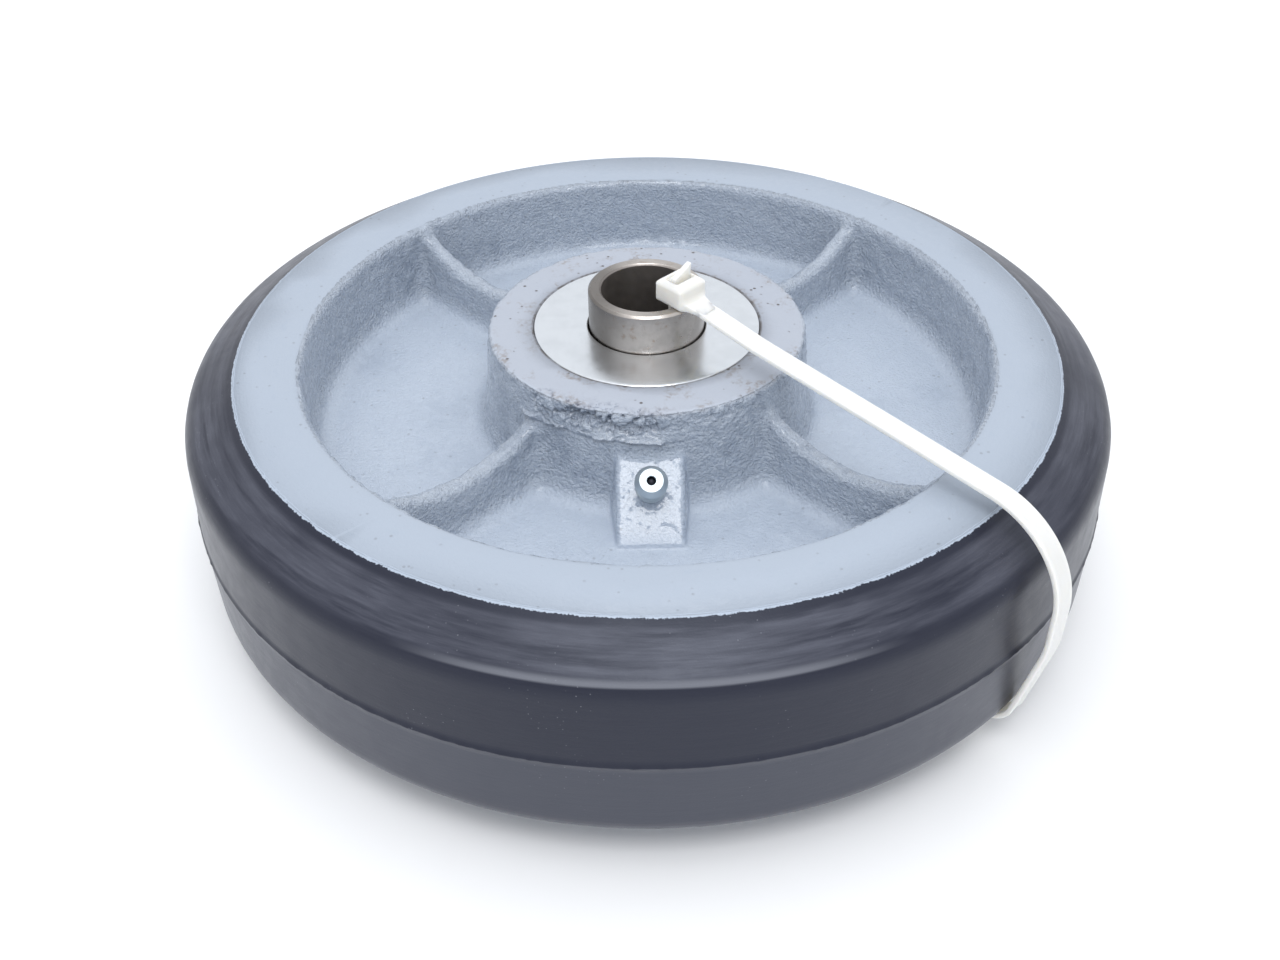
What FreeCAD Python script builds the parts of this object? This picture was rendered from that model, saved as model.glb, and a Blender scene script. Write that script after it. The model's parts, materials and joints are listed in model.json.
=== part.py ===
import FreeCAD, Part
import math
import os

# A mould-on rubber caster wheel with its roller bearing, spanner bushing and shipping tie.
# Millimetres. The axle runs along Z, the origin is the wheel's centre on the axle's axis, and
# -Y is the side with the grease fitting. "Radial drawings" are made in the XZ half-plane,
# with X as the radius, and then turned about Z.

V = FreeCAD.Vector
INCH = 25.4
X_AXIS = V(1, 0, 0)
Y_AXIS = V(0, 1, 0)
Z_AXIS = V(0, 0, 1)
CENTRE = V(0, 0, 0)

# Wheel: 8 in diameter, 2 in tread, 2 1/4 in hub length
TREAD_R = 4 * INCH
FACE_Z = 1 * INCH
HUB_Z = 1.125 * INCH
IRON_R = 89.6
RIM_INNER_R = 75.2
RIM_EDGE_ROUND = 2.2
WEB_HALF = 5.9
HUB_R = 34.8
HUB_FOOT_R = 36.8
HUB_EDGE_ROUND = 1.2
FOOT_ROUND = 5.0
BORE_R = 0.75 * INCH

# Tyre: the tread draws in a little from mid-width to both shoulders
TREAD_DRAFT = 0.5
SHOULDER_R = 99.1
SHOULDER_Z = 19.8
SHOULDER_ROUND = 5.5
PARTING_RIDGE = 0.25
PARTING_HALF = 0.4

# Ribs: four on each face, with a hollowed crest
RIB_COUNT = 4
RIB_AZIMUTH = 47.0
RIB_BASE = 6.6
RIB_TOP = 3.5
RIB_HUB_R = 34.0
RIB_HUB_Z = 22.6
RIB_LOW_Z = 16.6
RIB_LOW_R = 55.0
RIB_RIM_Z = 23.4
RIB_ROUND = 1.2
RIB_OVERLAP = 2.5

# Grease pad and passage
PAD_AZIMUTH = -89.1
PAD_WIDTH = 14.0
PAD_TOP_R = 35.3
PAD_TOP_Z = 19.0
PAD_FOOT_R = 49.8
PAD_FOOT_Z = WEB_HALF + 0.65
PAD_OVERLAP = 3.5
PAD_EDGE_ROUND = 0.8
FITTING_UP_SLOPE = 2.44
FITTING_SIDE = 0.1
PASSAGE_R = 1.5

# Retaining washers, let into both hub faces
WASHER_R = 24.8
WASHER_HOLE_R = 13.15
WASHER_THICK = 3.2
WASHER_POCKET_GAP = 0.15
WASHER_EDGE_BREAK = 0.25

# Spanner bushing: 1 in outside, for a 3/4 in axle
BUSHING_R = 0.5 * INCH
BUSHING_BORE_R = 25 / 64 * INCH
BUSHING_TOP_Z = 37.6
BUSHING_BOTTOM_Z = BUSHING_TOP_Z - 2.5 * INCH
BUSHING_OUTER_CHAMFER = 0.5
BUSHING_INNER_CHAMFER = 0.4

# Roller bearing: nominal 1/4 in rollers that run between the bushing and the hub bore
ROLLER_COUNT = 12
RUNNING_CLEARANCE = 0.05
ROLLER_R = 0.125 * INCH - RUNNING_CLEARANCE
PITCH_R = (BUSHING_R + BORE_R) / 2
ROLLER_HALF = 21.8
ROLLER_END_CHAMFER = 0.4
CAGE_RING_INNER_R = 13.5
CAGE_RING_OUTER_R = 18.4
CAGE_RING_LOW_Z = 22.0
CAGE_RING_HIGH_Z = 24.6
CAGE_BAR_WIDTH = 1.2
CAGE_BAR_INNER_R = 14.2
CAGE_BAR_OUTER_R = 17.6

# Grease fitting: lengths run along its own axis, from the pad's surface
SHANK_R = 2.9
SHANK_HOLE_GAP = 0.05
SHANK_LENGTH = 6.0
COLLAR_R = 3.15
COLLAR_HEIGHT = 0.8
NECK_R = 2.6
HEAD_START = 4.8
HEAD_R = 3.4
HEAD_WIDEST = 6.3
TIP_R = 2.35
TIP_HEIGHT = 8.2
MOUTH_R = 0.9
MOUTH_DEPTH = 0.8
CHAMBER_R = 1.35
CHAMBER_END = -4.8
OUTLET_R = 0.8
BALL_R = 1.15
BALL_SEAT_GAP = 0.06
SPRING_COIL_R = 0.9
SPRING_WIRE_R = 0.16
SPRING_PITCH = 1.15
SPRING_GAP = 0.08

# Cable tie: it lies in an upright plane beside the axle's axis
TIE_AZIMUTH = -45.0
TIE_SIDE_OFFSET = 1.3
STRAP_WIDTH = 4.8
STRAP_THICK = 1.2
STRAP_START_Z = BUSHING_TOP_Z + 1.0
STRAP_ROOT = 1.0
STRAP_INNER_R = 10.5
STRAP_UNDER_Z = -29.5
TIE_HEAD_NEAR_R = 5.2
TIE_HEAD_FAR_R = 12.6
TIE_HEAD_WIDTH = 7.9
TIE_HEAD_BOTTOM_Z = BUSHING_TOP_Z + 0.2
TIE_HEAD_TOP_Z = 43.0
TIE_HEAD_BEVEL = 1.0
TAIL_R = 8.4
TAIL_THICK = 1.3
TAIL_ROOT = 2.0
TAIL_HIGH = 2.9
TAIL_LOW = 0.5


def rounded_path(corners, closed):
    """Edges through corners (u, v, radius) in the XZ plane, each corner rounded to its radius."""
    places = [V(u, 0, v) for u, v, _ in corners]
    count = len(corners)
    joints = []
    for index in range(count):
        here = places[index]
        radius = corners[index][2]
        at_end = not closed and index in (0, count - 1)
        if radius == 0 or at_end:
            joints.append((here, None, here))
            continue
        back = (places[index - 1] - here).normalize()
        ahead = (places[(index + 1) % count] - here).normalize()
        half = back.getAngle(ahead) / 2
        reach = radius / math.tan(half)
        middle = here + (back + ahead).normalize() * (radius / math.sin(half) - radius)
        joints.append((here + back * reach, middle, here + ahead * reach))
    edges = []
    for index in range(count):
        start, middle, end = joints[index]
        if middle is not None:
            edges.append(Part.Arc(start, middle, end).toShape())
        if closed or index < count - 1:
            edges.append(Part.LineSegment(end, joints[(index + 1) % count][0]).toShape())
    return Part.Wire(edges)


def turned(corners):
    """Solid of revolution about Z of a closed outline of (radius, z, rounding)."""
    return Part.Face(rounded_path(corners, True)).revolve(CENTRE, Z_AXIS, 360)


def slab(corners, thickness):
    """Plate of the given thickness about the XZ plane, with a closed outline."""
    face = Part.Face(rounded_path(corners, True))
    face.translate(V(0, -thickness / 2, 0))
    return face.extrude(V(0, thickness, 0))


def ring(inner_r, outer_r, low_z, high_z):
    outer = Part.makeCylinder(outer_r, high_z - low_z, V(0, 0, low_z))
    return outer.cut(Part.makeCylinder(inner_r, high_z - low_z, V(0, 0, low_z)))


def at_azimuth(shape, azimuth):
    placed = shape.copy()
    placed.rotate(CENTRE, Z_AXIS, azimuth)
    return placed


def below(shape):
    """The same piece on the wheel's lower face."""
    return shape.mirror(CENTRE, Z_AXIS)


def pad_frame():
    """Centre of the grease fitting on the pad, and the pad's outward tilt from Z in degrees."""
    rise = PAD_TOP_Z - PAD_FOOT_Z
    run = PAD_FOOT_R - PAD_TOP_R
    tilt = math.degrees(math.atan2(rise, run))
    slope = math.hypot(rise, run)
    middle = V((PAD_TOP_R + PAD_FOOT_R) / 2, 0, (PAD_TOP_Z + PAD_FOOT_Z) / 2)
    return middle + V(-run, 0, rise) * (FITTING_UP_SLOPE / slope), tilt


def on_pad(shape):
    """Moves a shape from the grease fitting's own axis (its Z) to its place on the pad."""
    centre, tilt = pad_frame()
    placed = shape.copy()
    placed.rotate(CENTRE, Y_AXIS, tilt)
    placed.translate(centre + V(0, FITTING_SIDE, 0))
    return at_azimuth(placed, PAD_AZIMUTH)


def rib():
    """One rib: a plate with tapered sides and a crest hollowed to an arc."""
    inner_r = RIB_HUB_R - RIB_OVERLAP
    outer_r = RIM_INNER_R + RIB_OVERLAP
    crest = Part.Arc(V(RIM_INNER_R, 0, RIB_RIM_Z), V(RIB_LOW_R, 0, RIB_LOW_Z),
                     V(RIB_HUB_R, 0, RIB_HUB_Z))
    outline = [V(RIB_HUB_R, 0, RIB_HUB_Z), V(inner_r, 0, RIB_HUB_Z), V(inner_r, 0, 0),
               V(outer_r, 0, 0), V(outer_r, 0, RIB_RIM_Z), V(RIM_INNER_R, 0, RIB_RIM_Z)]
    sides = [Part.LineSegment(a, b).toShape() for a, b in zip(outline, outline[1:])]
    face = Part.Face(Part.Wire(sides + [crest.toShape()]))
    face.translate(V(0, -RIB_BASE / 2, 0))
    plate = face.extrude(V(0, RIB_BASE, 0))
    section = [V(inner_r, -RIB_BASE / 2, 0), V(inner_r, RIB_BASE / 2, 0),
               V(inner_r, RIB_TOP / 2, RIB_RIM_Z), V(inner_r, -RIB_TOP / 2, RIB_RIM_Z)]
    taper = Part.Face(Part.makePolygon(section + section[:1])).extrude(V(outer_r - inner_r, 0, 0))
    plain = plate.common(taper)
    crest_edges = [edge for edge in plain.Edges if not isinstance(edge.Curve, Part.Line)
                   and edge.BoundBox.XLength > RIB_OVERLAP]
    return plain.makeFillet(RIB_ROUND, crest_edges)


def grease_pad():
    """The sloping boss that the grease fitting is driven into."""
    inner_r = PAD_TOP_R - PAD_OVERLAP
    outline = [(inner_r, 0, 0), (PAD_FOOT_R, 0, 0), (PAD_FOOT_R, PAD_FOOT_Z, 0),
               (PAD_TOP_R, PAD_TOP_Z, 0), (inner_r, PAD_TOP_Z, 0)]
    pad = slab(outline, PAD_WIDTH)
    long_edges = [edge for edge in pad.Edges if edge.BoundBox.YLength < 1 and
                  edge.BoundBox.ZLength > 1 and edge.BoundBox.XLength > 1]
    return at_azimuth(pad.makeFillet(PAD_EDGE_ROUND, long_edges), PAD_AZIMUTH)


def wheel_core():
    """Cast-iron hub, web and rim with ribs on both faces and a drilled grease passage."""
    upper = [(IRON_R, FACE_Z, 0), (RIM_INNER_R, FACE_Z, RIM_EDGE_ROUND),
             (RIM_INNER_R, WEB_HALF, FOOT_ROUND), (HUB_FOOT_R, WEB_HALF, FOOT_ROUND),
             (HUB_R, HUB_Z, HUB_EDGE_ROUND), (BORE_R, HUB_Z, 0)]
    lower = [(r, -z, rounding) for r, z, rounding in reversed(upper)]
    core = turned(upper + lower)
    for index in range(RIB_COUNT):
        one = at_azimuth(rib(), RIB_AZIMUTH + index * 360 / RIB_COUNT)
        core = core.fuse([one, below(one)])
    core = core.fuse(grease_pad())
    pocket = ring(0, WASHER_R + WASHER_POCKET_GAP, HUB_Z - WASHER_THICK, HUB_Z)
    shank_hole = Part.makeCylinder(SHANK_R + SHANK_HOLE_GAP, SHANK_LENGTH, V(0, 0, -SHANK_LENGTH))
    centre, tilt = pad_frame()
    passage_length = (centre.x - BORE_R / 2) / math.sin(math.radians(tilt))
    passage = Part.makeCylinder(PASSAGE_R, passage_length, V(0, 0, -passage_length))
    return core.cut([pocket, below(pocket), on_pad(shank_hole), on_pad(passage)]).removeSplitter()


def rubber_tyre():
    """Moulded tyre: sloping shoulders, rounded into the tread, and a fine ridge at mid-width."""
    slope = (FACE_Z - SHOULDER_Z) / (SHOULDER_R - IRON_R)
    edge_r = TREAD_R - TREAD_DRAFT
    edge_z = FACE_Z - (edge_r - IRON_R) * slope
    upper = [(IRON_R, FACE_Z, 0), (edge_r, edge_z, SHOULDER_ROUND), (TREAD_R, PARTING_HALF, 0)]
    lower = [(r, -z, rounding) for r, z, rounding in reversed(upper)]
    return turned(upper + [(TREAD_R + PARTING_RIDGE, 0, 0)] + lower)


def retaining_washer():
    low_z = HUB_Z - WASHER_THICK
    corners = [(WASHER_HOLE_R, low_z), (WASHER_R, low_z),
               (WASHER_R, HUB_Z - WASHER_EDGE_BREAK), (WASHER_R - WASHER_EDGE_BREAK, HUB_Z),
               (WASHER_HOLE_R + WASHER_EDGE_BREAK, HUB_Z), (WASHER_HOLE_R, HUB_Z - WASHER_EDGE_BREAK)]
    return turned([(r, z, 0) for r, z in corners])


def spanner_bushing():
    outer = BUSHING_OUTER_CHAMFER
    inner = BUSHING_INNER_CHAMFER
    corners = [(BUSHING_R, BUSHING_BOTTOM_Z + outer), (BUSHING_R, BUSHING_TOP_Z - outer),
               (BUSHING_R - outer, BUSHING_TOP_Z), (BUSHING_BORE_R + inner, BUSHING_TOP_Z),
               (BUSHING_BORE_R, BUSHING_TOP_Z - inner), (BUSHING_BORE_R, BUSHING_BOTTOM_Z + inner),
               (BUSHING_BORE_R + inner, BUSHING_BOTTOM_Z), (BUSHING_R - outer, BUSHING_BOTTOM_Z)]
    return turned([(r, z, 0) for r, z in corners])


def cage_bars():
    """The bars between the rollers, which join the cage's two rings."""
    bar = Part.makeBox(CAGE_BAR_OUTER_R - CAGE_BAR_INNER_R, CAGE_BAR_WIDTH, 2 * CAGE_RING_LOW_Z,
                       V(CAGE_BAR_INNER_R, -CAGE_BAR_WIDTH / 2, -CAGE_RING_LOW_Z))
    step = 360 / ROLLER_COUNT
    return Part.makeCompound([at_azimuth(bar, (index + 0.5) * step) for index in range(ROLLER_COUNT)])


def roller(azimuth):
    inset = ROLLER_R - ROLLER_END_CHAMFER
    shoulder = ROLLER_HALF - ROLLER_END_CHAMFER
    one = turned([(0, -ROLLER_HALF, 0), (inset, -ROLLER_HALF, 0), (ROLLER_R, -shoulder, 0),
                  (ROLLER_R, shoulder, 0), (inset, ROLLER_HALF, 0), (0, ROLLER_HALF, 0)])
    one.translate(V(PITCH_R, 0, 0))
    return at_azimuth(one, azimuth)


def fitting_body():
    """Drive-in grease fitting: collar, neck, head and the chamber for its ball and spring."""
    cone = CHAMBER_R - MOUTH_R
    mouth_z = TIP_HEIGHT - MOUTH_DEPTH
    corners = [(OUTLET_R, -SHANK_LENGTH), (SHANK_R, -SHANK_LENGTH), (SHANK_R, 0), (COLLAR_R, 0),
               (COLLAR_R, COLLAR_HEIGHT), (NECK_R, COLLAR_HEIGHT), (NECK_R, HEAD_START),
               (HEAD_R, HEAD_WIDEST), (TIP_R, TIP_HEIGHT), (MOUTH_R, TIP_HEIGHT),
               (MOUTH_R, mouth_z), (CHAMBER_R, mouth_z - cone), (CHAMBER_R, CHAMBER_END),
               (OUTLET_R, CHAMBER_END)]
    return on_pad(turned([(r, z, 0) for r, z in corners]))


def ball_centre():
    """Height of the ball's centre when it closes the mouth, seated on the 45 degree cone."""
    cone_apex = TIP_HEIGHT - MOUTH_DEPTH + MOUTH_R
    return cone_apex - math.sqrt(2) * (BALL_R + BALL_SEAT_GAP)


def fitting_spring():
    low = CHAMBER_END + SPRING_WIRE_R + SPRING_GAP
    high = ball_centre() - BALL_R - SPRING_WIRE_R - SPRING_GAP
    path = Part.makeHelix(SPRING_PITCH, high - low, SPRING_COIL_R)
    wire = Part.Wire(Part.makeCircle(SPRING_WIRE_R, V(SPRING_COIL_R, 0, 0), Y_AXIS))
    spring = Part.Wire(path).makePipeShell([wire], True, True)
    spring.translate(V(0, 0, low))
    return on_pad(spring)


def on_tie_plane(shape):
    """Moves a shape from the XZ plane to the cable tie's own upright plane."""
    placed = shape.copy()
    placed.translate(V(0, TIE_SIDE_OFFSET, 0))
    return at_azimuth(placed, TIE_AZIMUTH)


def tie_strap():
    """The strap, from the tie's head round the tyre and under the wheel to the bushing's mouth."""
    route = [(TIE_HEAD_FAR_R - STRAP_ROOT, STRAP_START_Z, 0),
             (31.0, 35.9, 60.0),
             (106.9, 29.0, 19.0),
             (106.9, 2.5, 25.0),
             (101.9, -19.2, 6.3),
             (87.9, -27.55, 20.0),
             (60.0, STRAP_UNDER_Z, 90.0),
             (STRAP_INNER_R, STRAP_UNDER_Z, 0)]
    spine = rounded_path(route, False)
    start = V(route[0][0], 0, route[0][1])
    ahead = (V(route[1][0], 0, route[1][1]) - start).normalize()
    across = ahead.cross(Y_AXIS)
    half_wide = Y_AXIS * (STRAP_WIDTH / 2)
    half_thick = across * (STRAP_THICK / 2)
    section = [start - half_wide - half_thick, start + half_wide - half_thick,
               start + half_wide + half_thick, start - half_wide + half_thick]
    strap = spine.makePipeShell([Part.makePolygon(section + section[:1])], True, False)
    print("strap length", round(spine.Length, 1), "volume over section",
          round(strap.Volume / STRAP_WIDTH / STRAP_THICK, 1))
    return strap


def tie_head():
    """The tie's locking head with the cut end of the tail standing out of its top."""
    long_side = TIE_HEAD_FAR_R - TIE_HEAD_NEAR_R
    high = TIE_HEAD_TOP_Z - TIE_HEAD_BOTTOM_Z
    block = Part.makeBox(long_side, TIE_HEAD_WIDTH, high,
                         V(TIE_HEAD_NEAR_R, -TIE_HEAD_WIDTH / 2, TIE_HEAD_BOTTOM_Z))
    upper_edges = [edge for edge in block.Edges if edge.BoundBox.ZMin > TIE_HEAD_BOTTOM_Z + 1]
    block = block.makeChamfer(TIE_HEAD_BEVEL, upper_edges)
    half = STRAP_WIDTH / 2
    cut_end = [(-half, -TAIL_ROOT), (half, -TAIL_ROOT), (half, TAIL_HIGH), (-half, TAIL_LOW)]
    outline = [V(TAIL_R, side, TIE_HEAD_TOP_Z + up) for side, up in cut_end]
    tail = Part.Face(Part.makePolygon(outline + outline[:1])).extrude(V(TAIL_THICK, 0, 0))
    return block.fuse(tail)


def cable_tie():
    """Head and strap are one moulding."""
    return on_tie_plane(tie_head().fuse(tie_strap()).removeSplitter())


def export(name, shape):
    if not shape.isValid():
        print("INVALID", name)
    shape.exportStep("parts/" + name + ".step")
    print(name, len(shape.Solids), round(shape.Volume, 1))


def main():
    os.makedirs("parts", exist_ok=True)
    export("wheel_core", wheel_core())
    export("rubber_tyre", rubber_tyre())
    export("retaining_washer_upper", retaining_washer())
    export("retaining_washer_lower", below(retaining_washer()))
    export("spanner_bushing", spanner_bushing())
    cage_ring = ring(CAGE_RING_INNER_R, CAGE_RING_OUTER_R, CAGE_RING_LOW_Z, CAGE_RING_HIGH_Z)
    export("cage_ring_upper", cage_ring)
    export("cage_ring_lower", below(cage_ring))
    export("cage_bars", cage_bars())
    for index in range(ROLLER_COUNT):
        export("roller_%02d" % (index + 1), roller(index * 360 / ROLLER_COUNT))
    export("grease_fitting_body", fitting_body())
    export("grease_fitting_ball", on_pad(Part.makeSphere(BALL_R, V(0, 0, ball_centre()))))
    export("grease_fitting_spring", fitting_spring())
    export("cable_tie", cable_tie())


main()
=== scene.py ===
import json
import math

import bmesh
import bpy
import numpy as np
from mathutils import Matrix, Vector


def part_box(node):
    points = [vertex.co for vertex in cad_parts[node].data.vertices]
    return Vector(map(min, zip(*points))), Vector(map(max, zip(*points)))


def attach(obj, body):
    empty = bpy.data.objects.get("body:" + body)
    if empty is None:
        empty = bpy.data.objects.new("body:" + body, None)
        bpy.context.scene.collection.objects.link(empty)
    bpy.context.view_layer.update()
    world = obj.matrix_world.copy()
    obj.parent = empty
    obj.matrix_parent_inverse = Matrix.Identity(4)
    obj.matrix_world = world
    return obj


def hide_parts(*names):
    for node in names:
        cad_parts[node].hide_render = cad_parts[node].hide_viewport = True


# Looks of the mould-on rubber caster wheel. Shapes are worked out in millimetres in the row frame
# and become metres in add_piece(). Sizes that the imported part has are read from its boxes.

MM = 0.001
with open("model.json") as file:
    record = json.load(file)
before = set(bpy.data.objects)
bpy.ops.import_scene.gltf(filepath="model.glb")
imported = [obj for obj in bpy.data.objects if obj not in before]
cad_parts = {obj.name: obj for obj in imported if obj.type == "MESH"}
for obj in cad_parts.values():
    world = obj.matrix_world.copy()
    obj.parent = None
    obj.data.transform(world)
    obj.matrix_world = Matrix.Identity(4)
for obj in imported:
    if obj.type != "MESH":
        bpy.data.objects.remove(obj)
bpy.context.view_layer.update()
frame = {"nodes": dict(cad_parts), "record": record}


def cad_box(node):
    """Lowest and highest corner of a CAD node, in millimetres."""
    low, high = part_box(node)
    return np.array(low) / MM, np.array(high) / MM


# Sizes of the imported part
IRON_R = cad_box("wheel_core")[1][0]
HUB_Z = cad_box("wheel_core")[1][2]
FACE_Z = cad_box("rubber_tyre")[1][2]
RIDGE_R = cad_box("rubber_tyre")[1][0]
WASHER_R = cad_box("retaining_washer_upper")[1][0]
WASHER_LOW_Z = cad_box("retaining_washer_upper")[0][2]
BUSHING_R = cad_box("spanner_bushing")[1][0]
BUSHING_LOW_Z, BUSHING_TOP_Z = (corner[2] for corner in cad_box("spanner_bushing"))
FLOOR_Z = cad_box("cable_tie")[0][2] - 0.05

# Sizes that no box gives, as in the part's source. Rib and pad sizes are (radius, z) pairs.
RIM_INNER_R = 75.2
RIM_EDGE_ROUND = 2.2
WEB_HALF = 5.9
HUB_R = 34.8
HUB_FOOT_R = 36.8
HUB_EDGE_ROUND = 1.2
FOOT_ROUND = 5.0
BORE_R = 19.05
POCKET_R = WASHER_R + 0.15
TREAD_R = 101.6
TREAD_DRAFT = 0.5
RIDGE_HALF = 0.45
SHOULDER = (99.1, 19.8)
SHOULDER_ROUND = 5.5
RIB_COUNT = 4
RIB_AZIMUTH = 47.0
RIB_BASE = 6.6
RIB_TOP = 3.5
RIB_ENDS = ((RIM_INNER_R, 23.4), (55.0, 16.6), (34.0, 22.6))
RIB_CREST_ROUND = 1.7
RIB_FOOT_ROUND = 4.2
RIB_END_ROUND = 1.6
PAD_AZIMUTH = -89.1
PAD_WIDTH = 14.0
PAD_DRAFT = 0.16
PAD_TOP = (35.3, 19.0)
PAD_FOOT = (49.8, 6.55)
PAD_EDGE_ROUND = 0.9
PAD_END_ROUND = 0.35
PAD_FOOT_ROUND = 0.7
PAD_HUB_ROUND = 1.0
WASHER_HOLE_R = 12.95
BUSHING_BORE_R = 9.92


# ---------------------------------------------------------------- meshes

def add_piece(name, points, faces, body, replaced=()):
    """A smooth mesh piece from points in millimetres, riding on a CAD body."""
    mesh = bpy.data.meshes.new(name)
    points = np.asarray(points, np.float64) * MM
    faces = np.asarray(faces, np.int32)
    mesh.vertices.add(len(points))
    mesh.vertices.foreach_set("co", points.ravel())
    mesh.loops.add(faces.size)
    mesh.loops.foreach_set("vertex_index", faces.ravel())
    mesh.polygons.add(len(faces))
    mesh.polygons.foreach_set("loop_start", np.arange(len(faces), dtype=np.int32) * faces.shape[1])
    mesh.update(calc_edges=True)
    mesh.shade_smooth()
    piece = bpy.data.objects.new(name, mesh)
    bpy.context.scene.collection.objects.link(piece)
    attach(piece, body)
    if replaced:
        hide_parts(*replaced)
    return piece


def add_attribute(piece, name, values):
    """Stores a number at each point, for the materials."""
    attribute = piece.data.attributes.new(name, "FLOAT", "POINT")
    attribute.data.foreach_set("value", np.asarray(values, np.float32))


def keep_modifier(piece, kind, **settings):
    """Adds a modifier and applies it to the mesh."""
    modifier = piece.modifiers.new(kind.title(), kind)
    for key, value in settings.items():
        setattr(modifier, key, value)
    graph = bpy.context.evaluated_depsgraph_get()
    piece.data = bpy.data.meshes.new_from_object(piece.evaluated_get(graph))
    piece.modifiers.clear()


def smooth_by_angle(piece, degrees):
    """Smooth shading, with edges sharper than the angle kept crisp."""
    piece.data.shade_smooth()
    piece.data.set_sharp_from_angle(angle=math.radians(degrees))


def outline(corners, step, closed=True):
    """Points along corners (u, v, rounding), each corner an arc, no two further apart than step."""
    count = len(corners)
    runs = []
    for index, (u, v, rounding) in enumerate(corners):
        here = np.array((u, v))
        if rounding == 0:
            runs.append([here])
            continue
        back = np.array(corners[index - 1][:2]) - here
        ahead = np.array(corners[(index + 1) % count][:2]) - here
        back, ahead = back / np.hypot(*back), ahead / np.hypot(*ahead)
        half = math.acos(float(np.clip(back @ ahead, -1, 1))) / 2
        centre = here + (back + ahead) / np.hypot(*(back + ahead)) * rounding / math.sin(half)
        start = here + back * rounding / math.tan(half) - centre
        end = here + ahead * rounding / math.tan(half) - centre
        first = math.atan2(start[1], start[0])
        turn = (math.atan2(end[1], end[0]) - first + math.pi) % (2 * math.pi) - math.pi
        parts = max(2, math.ceil(abs(turn) / math.radians(15)), math.ceil(abs(turn) * rounding / step))
        angles = first + turn * np.arange(parts + 1) / parts
        runs.append(list(centre + rounding * np.stack([np.cos(angles), np.sin(angles)], 1)))
    corners_out = [point for run in runs for point in run]
    points = []
    last = len(corners_out) if closed else len(corners_out) - 1
    for index in range(last):
        a, b = corners_out[index], corners_out[(index + 1) % len(corners_out)]
        parts = max(1, math.ceil(np.hypot(*(b - a)) / step))
        points += [a + (b - a) * k / parts for k in range(parts)]
    if not closed:
        points.append(corners_out[-1])
    return np.array(points)


def grid_faces(rows, columns, wrap_rows, wrap_columns):
    """Quads over a grid of points numbered row by row."""
    r = np.arange(rows if wrap_rows else rows - 1)
    c = np.arange(columns if wrap_columns else columns - 1)
    r, c = (a.ravel() for a in np.meshgrid(r, c, indexing="ij"))
    r2, c2 = (r + 1) % rows, (c + 1) % columns
    return np.stack([r * columns + c, r2 * columns + c, r2 * columns + c2, r * columns + c2], 1)


def turned(profile, steps):
    """Points and quads of a closed (radius, z) profile turned about Z; rows are azimuths."""
    azimuth = np.arange(steps) * 2 * math.pi / steps
    r, z = profile[:, 0], profile[:, 1]
    points = np.stack([np.outer(np.cos(azimuth), r), np.outer(np.sin(azimuth), r),
                       np.tile(z, (steps, 1))], 2).reshape(-1, 3)
    return points, grid_faces(steps, len(profile), True, True)


# ---------------------------------------------------------------- noise

LATTICE = 48


def noise(points, size, seed):
    """Smooth seeded noise from -1 to 1, with bumps about size apart."""
    table = np.random.default_rng(seed).uniform(-1, 1, (LATTICE,) * 3)
    scaled = np.asarray(points, float) / size
    cell = np.floor(scaled).astype(int)
    part = scaled - cell
    part = part * part * (3 - 2 * part)
    total = np.zeros(len(scaled))
    for corner in range(8):
        offset = np.array([corner & 1, corner >> 1 & 1, corner >> 2 & 1])
        share = np.prod(np.where(offset == 1, part, 1 - part), 1)
        index = (cell + offset) % LATTICE
        total += share * table[index[:, 0], index[:, 1], index[:, 2]]
    return total


def step_between(low, high, value):
    """0 below low, 1 above high, and a smooth step between them."""
    t = np.clip((value - low) / (high - low), 0, 1)
    return t * t * (3 - 2 * t)


# ---------------------------------------------------------------- cast-iron core

def round_union(a, b, radius):
    """Union of two distance fields with a fillet of the radius."""
    u, v = np.maximum(radius - a, 0), np.maximum(radius - b, 0)
    return np.maximum(radius, np.minimum(a, b)) - np.hypot(u, v)


def round_common(a, b, radius):
    """Common part of two distance fields with its edge rounded to the radius."""
    u, v = np.maximum(radius + a, 0), np.maximum(radius + b, 0)
    return np.minimum(-radius, np.maximum(a, b)) + np.hypot(u, v)


def circle_through(a, b, c):
    """Centre and radius of the circle through three points."""
    (ax, ay), (bx, by), (cx, cy) = a, b, c
    m = np.array([[bx - ax, by - ay], [cx - ax, cy - ay]], float) * 2
    k = np.array([bx**2 - ax**2 + by**2 - ay**2, cx**2 - ax**2 + cy**2 - ay**2], float)
    centre = np.linalg.solve(m, k)
    return centre, float(np.hypot(ax - centre[0], ay - centre[1]))


def rib_distance(x, y, up):
    """Distance to the nearest of the ribs on one face."""
    share = 2 * math.pi / RIB_COUNT
    turn = np.arctan2(y, x) - math.radians(RIB_AZIMUTH)
    turn = (turn + share / 2) % share - share / 2
    r = np.hypot(x, y)
    along, across = r * np.cos(turn), np.abs(r * np.sin(turn))
    crest_centre, crest_r = circle_through(*RIB_ENDS)
    top = crest_r - np.hypot(along - crest_centre[0], up - crest_centre[1])
    top = np.maximum(top, up - RIB_ENDS[0][1])
    slope = (RIB_BASE - RIB_TOP) / 2 / RIB_ENDS[0][1]
    side = (across + slope * up - RIB_BASE / 2) / math.hypot(1, slope)
    rib = round_common(side, top, RIB_CREST_ROUND)
    return np.maximum(rib, np.maximum(along - RIM_INNER_R - 2, HUB_R - 3 - along))


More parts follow.
